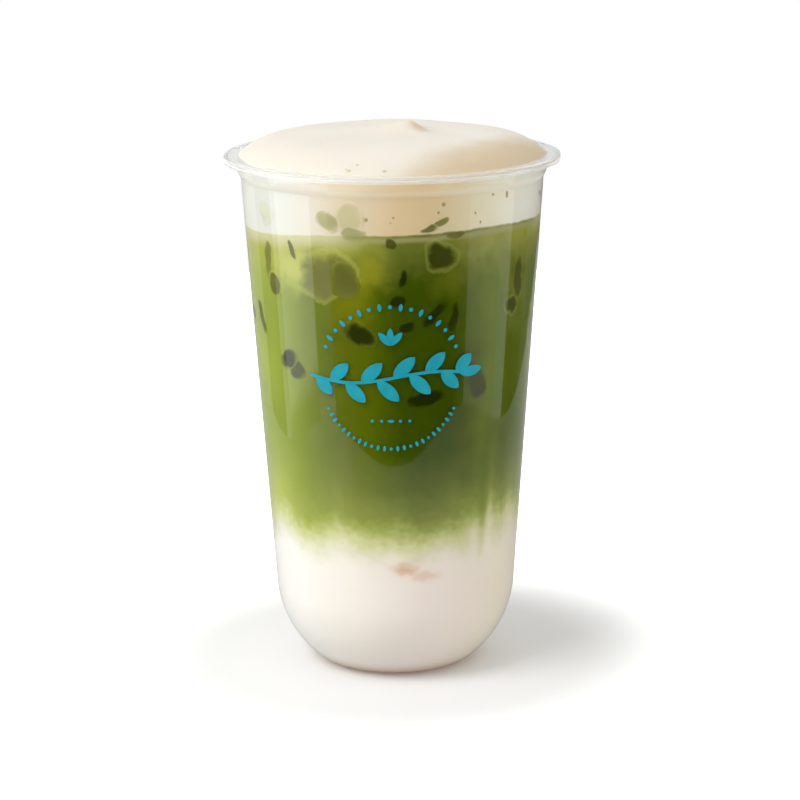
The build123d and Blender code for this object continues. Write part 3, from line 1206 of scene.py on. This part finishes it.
ink = {
    "middle": (-0.9, 91.5),  # along the wall from the front, and height
    "ringRadius": 20.2,
    "lift": 0.06,  # how far the ink stands off the cup
    "stemLength": 47.0,
    "stemWave": 1.5,
    "waveTurn": 0.13,  # radians for each millimetre along the stem
    "leafLength": 8.4,
    "leafWidth": 3.7,
    "leaves": 10,
    # arcs of dots: start and sweep in degrees, gaps, after how many a short one, half sizes
    "arcs": [(156, -132, 16, 2, 1.15, 0.62, 0.55), (208, 124, 24, 3, 0.85, 0.5, 0.42)],
    "colour": (0.006, 0.33, 0.42, 1),
    "worn": (0.015, 0.37, 0.45, 1),
}


def inkMarks():
    # (along, up, half length, half width, turn) of every mark in the print
    marks = []
    for start, sweep, gaps, every, long, short, half in ink["arcs"]:
        for k in range(gaps + 1):
            a = radians(start + sweep * k / gaps)
            place = (ink["ringRadius"] * cos(a), ink["ringRadius"] * sin(a))
            marks.append((*place, long if k % every else short, half, a))
    half = ink["stemLength"] / 2
    for k in range(ink["leaves"]):
        along = -half + 2.0 + k * (ink["stemLength"] - 7.0) / (ink["leaves"] - 1)
        up = ink["stemWave"] * sin(along * ink["waveTurn"])
        side = 1 if k % 2 else -1
        turn = side * radians(44)
        length = ink["leafLength"] * (0.72 + 0.28 * sin(pi * (k + 1) / (ink["leaves"] + 1))) / 2
        place = (along + length * cos(turn), up + length * sin(turn))
        marks.append((*place, length, ink["leafWidth"] / 2, turn))
    tip = ink["stemWave"] * sin(half * ink["waveTurn"])
    marks.append((half - 0.2, tip + 0.6, ink["leafLength"] * 0.42, 1.5, radians(8)))
    for turn in (48, 90, 132):
        a = radians(turn)
        marks.append((2.4 * cos(a), 9.4 + 2.4 * sin(a), 2.5, 0.95, a))
    for along in (-5.2, -2.6, 0.0, 2.6, 5.2):
        marks.append((along, -12.2, 0.45 if along else 0.95, 0.45, 0.0))
    return marks


def makeInkTree():
    # a leaf-shaped mark on each point, then everything is wrapped round the outside of the wall
    inputs = {
        "Geometry": ("Geometry", None),
        "Wall Radius": ("Float", outerBase * mm),
        "Wall Slope": ("Float", wallSlope),
        "Lift": ("Float", 0.0001),
        "Stem Length": ("Float", 0.047),
        "Stem Width": ("Float", 0.0009),
        "Stem Wave": ("Float", 0.0015),
    }
    tree, given, taken = newGroup("wrappedInk", "GeometryNodeTree", inputs, {"Geometry": "Geometry"})
    leaf = addNode(tree, "GeometryNodeMeshGrid", {0: 2.0, 1: 2.0, 2: 13, 3: 5}).outputs[0]
    axes = axesOf(tree, placeOf(tree))
    left = calc(tree, "SUBTRACT", 1.0, calc(tree, "MULTIPLY", axes[0], axes[0]))
    narrow = calc(tree, "POWER", calc(tree, "MAXIMUM", left, 0.0), 0.75)
    pointed = joined(tree, axes[0], calc(tree, "MULTIPLY", axes[1], narrow), 0.0)
    leaves = instanced(tree, given["Geometry"], shifted(tree, leaf, Position=pointed))
    inputs = {0: given["Stem Length"], 1: given["Stem Width"], 2: 61, 3: 3}
    stem = addNode(tree, "GeometryNodeMeshGrid", inputs).outputs[0]
    turn = calc(tree, "MULTIPLY", axesOf(tree, placeOf(tree))[0], ink["waveTurn"] / mm)
    wave = calc(tree, "MULTIPLY", calc(tree, "SINE", turn), given["Stem Wave"])
    stem = shifted(tree, stem, Offset=joined(tree, 0.0, wave, 0.0))
    both = addNode(tree, "GeometryNodeJoinGeometry")
    tree.links.new(leaves, both.inputs[0])
    tree.links.new(stem, both.inputs[0])
    axes = axesOf(tree, placeOf(tree))
    along = calc(tree, "ADD", axes[0], ink["middle"][0] * mm)
    height = calc(tree, "ADD", axes[1], ink["middle"][1] * mm)
    bent = bentRound(tree, given, along, height, given["Lift"])
    inked = shifted(tree, both.outputs[0], Position=bent)
    inked = addNode(tree, "GeometryNodeMergeByDistance", {"Geometry": inked, "Distance": 0.00001}).outputs[0]
    inked = addNode(tree, "GeometryNodeRealizeInstances", {0: inked}).outputs[0]
    material = addNode(tree, "GeometryNodeSetMaterial", {"Geometry": inked, "Material": inkLook()})
    feed(tree, taken["Geometry"], material.outputs[0])
    return tree


def inkLook():
    material, tree = newMaterial("printInk")
    fine = grain(tree, placeIn(tree), 1500.0)
    colour = blend(tree, fine["Mask"], ink["colour"], ink["worn"])
    rough = calc(tree, "MULTIPLY_ADD", fine["Mask"], 0.15, 0.35)
    normal = raised(tree, 0.1, 0.00005, fine["Height"])
    plainSurface(tree, colour, rough, gloss=0.2, normal=normal)
    return material


def makePrint():
    marks = inkMarks()
    notes = {
        "size": [(m[2] * mm, m[3] * mm, mm) for m in marks],
        "turned": [(0.0, 0.0, m[4]) for m in marks],
    }
    values = {
        "Lift": ink["lift"] * mm,
        "Stem Length": ink["stemLength"] * mm,
        "Stem Wave": ink["stemWave"] * mm,
    }
    piece = growPiece("leafPrint", [(m[0], m[1], 0.0) for m in marks], notes, makeInkTree(), values)
    return finished(piece, None)


makePrint()
print("print laid on the wall")

white = (1, 1, 1, 1)
studio = {
    "floorFront": 0.195,
    "floorHalfWidth": 0.24,
    "floorAside": 0.01,
    "floorBack": 0.60,
    "floorColour": (0.94, 0.94, 0.935, 1),
    # reflections see the floor with painted shade, and with a painted pool of light at the front left
    "floorShadeInReflections": (0.55, 0.55, 0.55, 1),
    "floorLitAtFrontLeft": (0.95, 0.95, 0.95, 1),
    "floorGlow": 0.45,  # what the pale table top throws up at the cup's underside
    "shadowFade": (0.050, 0.12),  # the floor's own shading is seen only this close to the cup
    "litFloorSpot": (-0.18, -0.13, 0.0),
    "litFloorSpotFade": (0.11, 0.04),
    "ambient": 0.65,
    "cardDistance": 0.75,
}


def makeFloor():
    # a table top with rounded front corners
    wide = studio["floorHalfWidth"]
    outline = [(wide, studio["floorBack"]), (-wide, studio["floorBack"])]
    for k in range(49):
        a = pi + pi * k / 48
        x = abs(cos(a)) ** (2 / 3) * wide
        y = abs(sin(a)) ** (2 / 3) * studio["floorFront"]
        outline.append((x if k > 24 else -x, -y))
    count = len(outline)
    points = [(x + studio["floorAside"], y, z) for z in (-0.02, 0.0) for x, y in outline]
    faces = [tuple(range(count))[::-1], tuple(range(count, 2 * count))]
    for i in range(count):
        j = (i + 1) % count
        faces.append((i, j, count + j, count + i))
    mesh = bpy.data.meshes.new("paleFloor")
    mesh.from_pydata(points, [], faces)
    piece = placed("paleFloor", mesh)
    return piece


def floorLook():
    material, tree = newMaterial("floorLook")
    path = addNode(tree, "ShaderNodeLightPath").outputs
    seen = calc(tree, "MAXIMUM", path["Is Camera Ray"], path["Is Transmission Ray"])
    place = placeIn(tree)
    lift = fade(tree, lengthOf(tree, place), *studio["shadowFade"])
    # in reflections the floor shows painted shade, lighter in a painted pool of light at the front left
    bare = calc(tree, "SUBTRACT", path["Is Glossy Ray"], path["Is Transmission Ray"])
    aside = lengthOf(tree, move(tree, "SUBTRACT", place, studio["litFloorSpot"]))
    paler = fade(tree, aside, *studio["litFloorSpotFade"])
    mirrored = blend(tree, paler, studio["floorShadeInReflections"], studio["floorLitAtFrontLeft"])
    mirrored = blend(tree, calc(tree, "MAXIMUM", bare, 0.0), studio["floorColour"], mirrored)
    matt = addNode(tree, "ShaderNodeBsdfDiffuse", {"Color": mirrored})
    below = calc(tree, "MULTIPLY", path["Is Transmission Ray"], studio["floorGlow"])
    strength = calc(tree, "MAXIMUM", calc(tree, "MULTIPLY", lift, seen), below)
    glow = addNode(tree, "ShaderNodeEmission", {"Color": white, "Strength": strength})
    both = addNode(tree, "ShaderNodeAddShader", {0: matt.outputs[0], 1: glow.outputs[0]})
    ends(tree, both)
    return material


paint(makeFloor(), floorLook())


def curvedCard(name, start, end, low, high, brightness, fadeFrom=None, least=0.2):
    # a card round the object, seen only in reflections; degrees from the front, to the right;
    # fadeFrom gives the heights between which it brightens from its least share to all of it
    steps = 24
    radius = studio["cardDistance"]
    turns = [radians(start + (end - start) * k / steps) for k in range(steps + 1)]
    points = [(radius * sin(a), -radius * cos(a), z) for a in turns for z in (low, high)]
    faces = [(2 * k, 2 * k + 2, 2 * k + 3, 2 * k + 1) for k in range(steps)]
    mesh = bpy.data.meshes.new(name)
    mesh.from_pydata(points, [], faces)
    piece = placed(name, mesh)
    for ray in ("camera", "diffuse", "transmission", "shadow", "volume_scatter"):
        setattr(piece, "visible_" + ray, False)
    material, tree = newMaterial(name)
    if fadeFrom:
        height = axesOf(tree, placeIn(tree))[2]
        share = calc(tree, "MULTIPLY_ADD", fade(tree, height, *fadeFrom), 1 - least, least)
        brightness = calc(tree, "MULTIPLY", share, brightness)
    glow = addNode(tree, "ShaderNodeEmission", {"Color": white, "Strength": brightness})
    ends(tree, glow)
    paint(piece, material)


# name, start and end, low and high, brightness, and where one fades: from, to and the least share
cards = [
    ("frontCard", -50, 52, -0.9, 0.06, 0.005),
    ("leftGap", -65, -48, -0.9, 0.06, 1.0, (-0.165, -0.180), 0.32),
    ("rightGap", 52, 60, -0.9, 0.06, 0.1),
    ("leftStrip", -99.5, -65, -0.7, 0.9, 1.9, (-0.176, -0.152), 0.28),
    ("rightStrip", 60, 91.5, -0.19, 0.8, 0.8),
    ("rightStripLow", 60, 100, -0.7, -0.19, 0.1),
    ("leftCard", -128, -106, -0.9, 0.06, 0.12),
    ("rightCard", 104, 128, -0.9, 0.06, 0.05),
    ("leftBackCard", -178, -128, -0.9, 0.02, 0.5),
    ("rightBackCard", 128, 178, -0.9, 0.02, 0.12),
    ("leftHighCard", -178, -106, 0.06, 0.9, 0.6),
    ("rightHighCard", 104, 178, 0.06, 0.9, 0.5),
]
for card in cards:
    curvedCard(*card)


def areaLamp(name, place, towards, width, height, radiance):
    data = bpy.data.lights.new(name, "AREA")
    data.shape = "RECTANGLE"
    data.size = width
    data.size_y = height
    data.energy = radiance * width * height * pi
    lamp = placed(name, data)
    lamp.location = place
    lamp.rotation_euler = (Vector(towards) - Vector(place)).to_track_quat("-Z", "Y").to_euler()
    lamp.visible_glossy = False  # the cards are what reflections show


def sideLamp(name, degreesRound, distance, low, high, widthDegrees, radiance):
    a = radians(degreesRound)
    middle = (low + high) / 2
    place = (distance * sin(a), -distance * cos(a), middle)
    width = 2 * distance * tan(radians(widthDegrees) / 2)
    areaLamp(name, place, (0, 0, middle), width, high - low, radiance)


sideLamp("leftBox", -83, 0.9, -0.7, 0.9, 36, 1.1)
sideLamp("rightBox", 80, 0.9, -0.7, 0.8, 40, 0.55)
areaLamp("keyBox", (-0.52, -0.42, 0.92), (0, 0, 0.1), 0.5, 0.5, 5.8)


def makeRoom():
    world = bpy.data.worlds.new("studioRoom")
    bpy.context.scene.world = world
    world.use_nodes = True
    tree = world.node_tree
    tree.nodes.clear()
    path = addNode(tree, "ShaderNodeLightPath").outputs
    seen = calc(tree, "MAXIMUM", path["Is Camera Ray"], path["Is Glossy Ray"])
    seen = calc(tree, "MAXIMUM", seen, path["Is Transmission Ray"])
    ambient = addNode(tree, "ShaderNodeBackground", {"Color": white, "Strength": studio["ambient"]})
    backdrop = addNode(tree, "ShaderNodeBackground", {"Color": white, "Strength": 1.0})
    mixed = addNode(tree, "ShaderNodeMixShader", {0: seen, 1: ambient.outputs[0], 2: backdrop.outputs[0]})
    ends(tree, mixed, "World")


makeRoom()
print("studio lit")

view = {
    "distance": 0.8,
    "elevation": radians(13.7),
    "target": Vector((0, 0, 0.072)),
    "roll": radians(-0.474),
    "lens": 124.7,
    "shift": (0.0073, 0.0174),
}
cameraData = bpy.data.cameras.new("camera")
cameraData.lens = view["lens"]
cameraData.shift_x, cameraData.shift_y = view["shift"]
camera = placed("camera", cameraData)
away = Vector((0, -cos(view["elevation"]), sin(view["elevation"])))
camera.location = view["target"] + view["distance"] * away
turn = away.to_track_quat("Z", "Y") @ Matrix.Rotation(view["roll"], 3, "Z").to_quaternion()
camera.rotation_euler = turn.to_euler()
bpy.context.scene.camera = camera
bpy.context.scene.view_settings.view_transform = "Standard"
print("camera placed")
